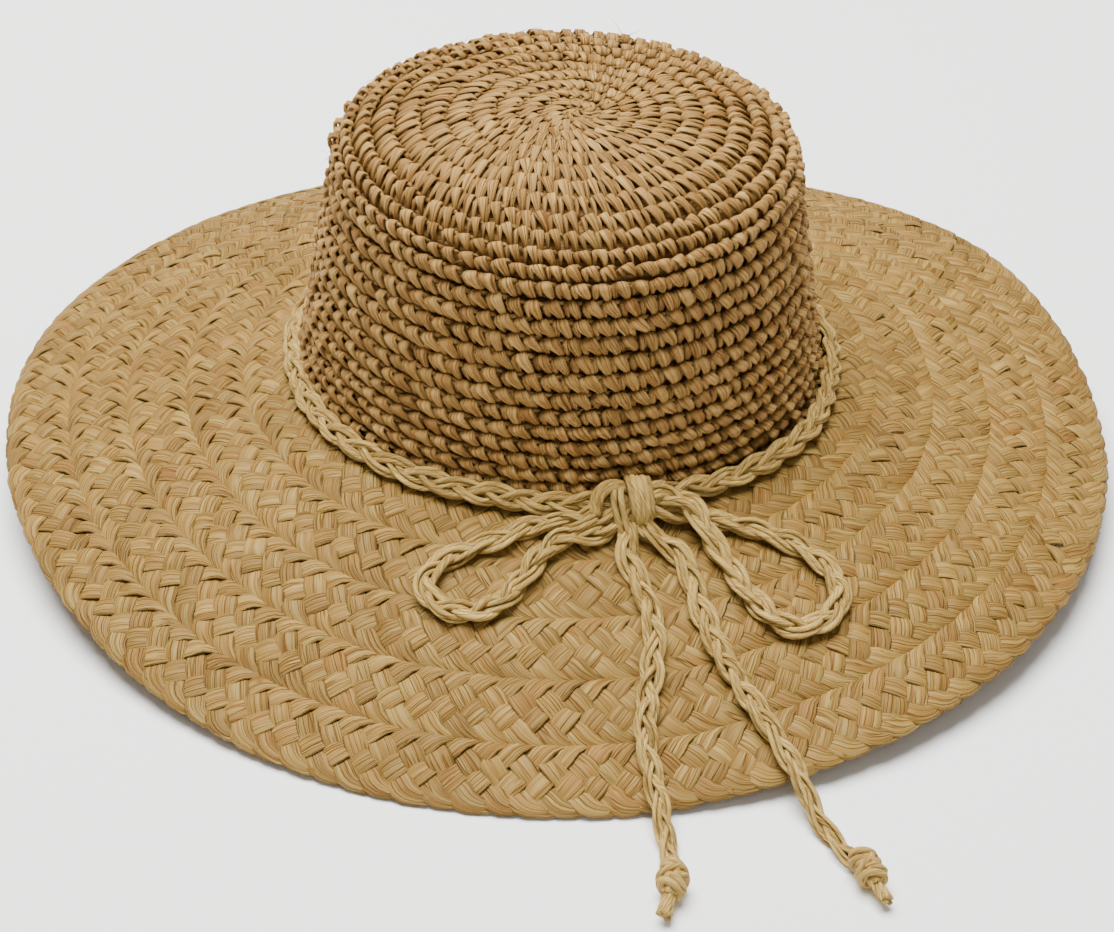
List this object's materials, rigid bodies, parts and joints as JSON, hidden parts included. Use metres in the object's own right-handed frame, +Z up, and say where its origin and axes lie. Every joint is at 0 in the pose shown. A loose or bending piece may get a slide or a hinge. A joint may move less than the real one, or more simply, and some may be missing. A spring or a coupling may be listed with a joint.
{
  "type": "raffia sun hat",
  "caption": "Wide-brimmed sun hat with a crocheted raffia crown, a gently waved brim of sewn flat braid, and a plaited raffia tie knotted in a bow with loose tails.",
  "frame": {"origin": "on the resting plane, below the middle of the crown and of the round brim", "axes": "+Z up through the crown, -Y towards the front with the bow, +X to the right as seen from the front"},
  "size_m": [0.418, 0.465, 0.1473],
  "materials": {
    "crown_raffia": "crocheted raffia, darker tan, matt with a faint waxy sheen",
    "brim_raffia": "flat braided raffia, light straw, matt with a faint waxy sheen",
    "tie_raffia": "plaited raffia, pale yellow straw, matt"
  },
  "bodies": {
    "root": {"crown": "crown_raffia", "brim": "brim_raffia", "tie_band": "tie_raffia", "bow_knot": "tie_raffia", "bow_loop_left": "tie_raffia", "bow_loop_right": "tie_raffia", "tail_left": "tie_raffia", "tail_right": "tie_raffia", "tail_knot_left": "tie_raffia", "tail_knot_right": "tie_raffia"}
  },
  "joints": []
}
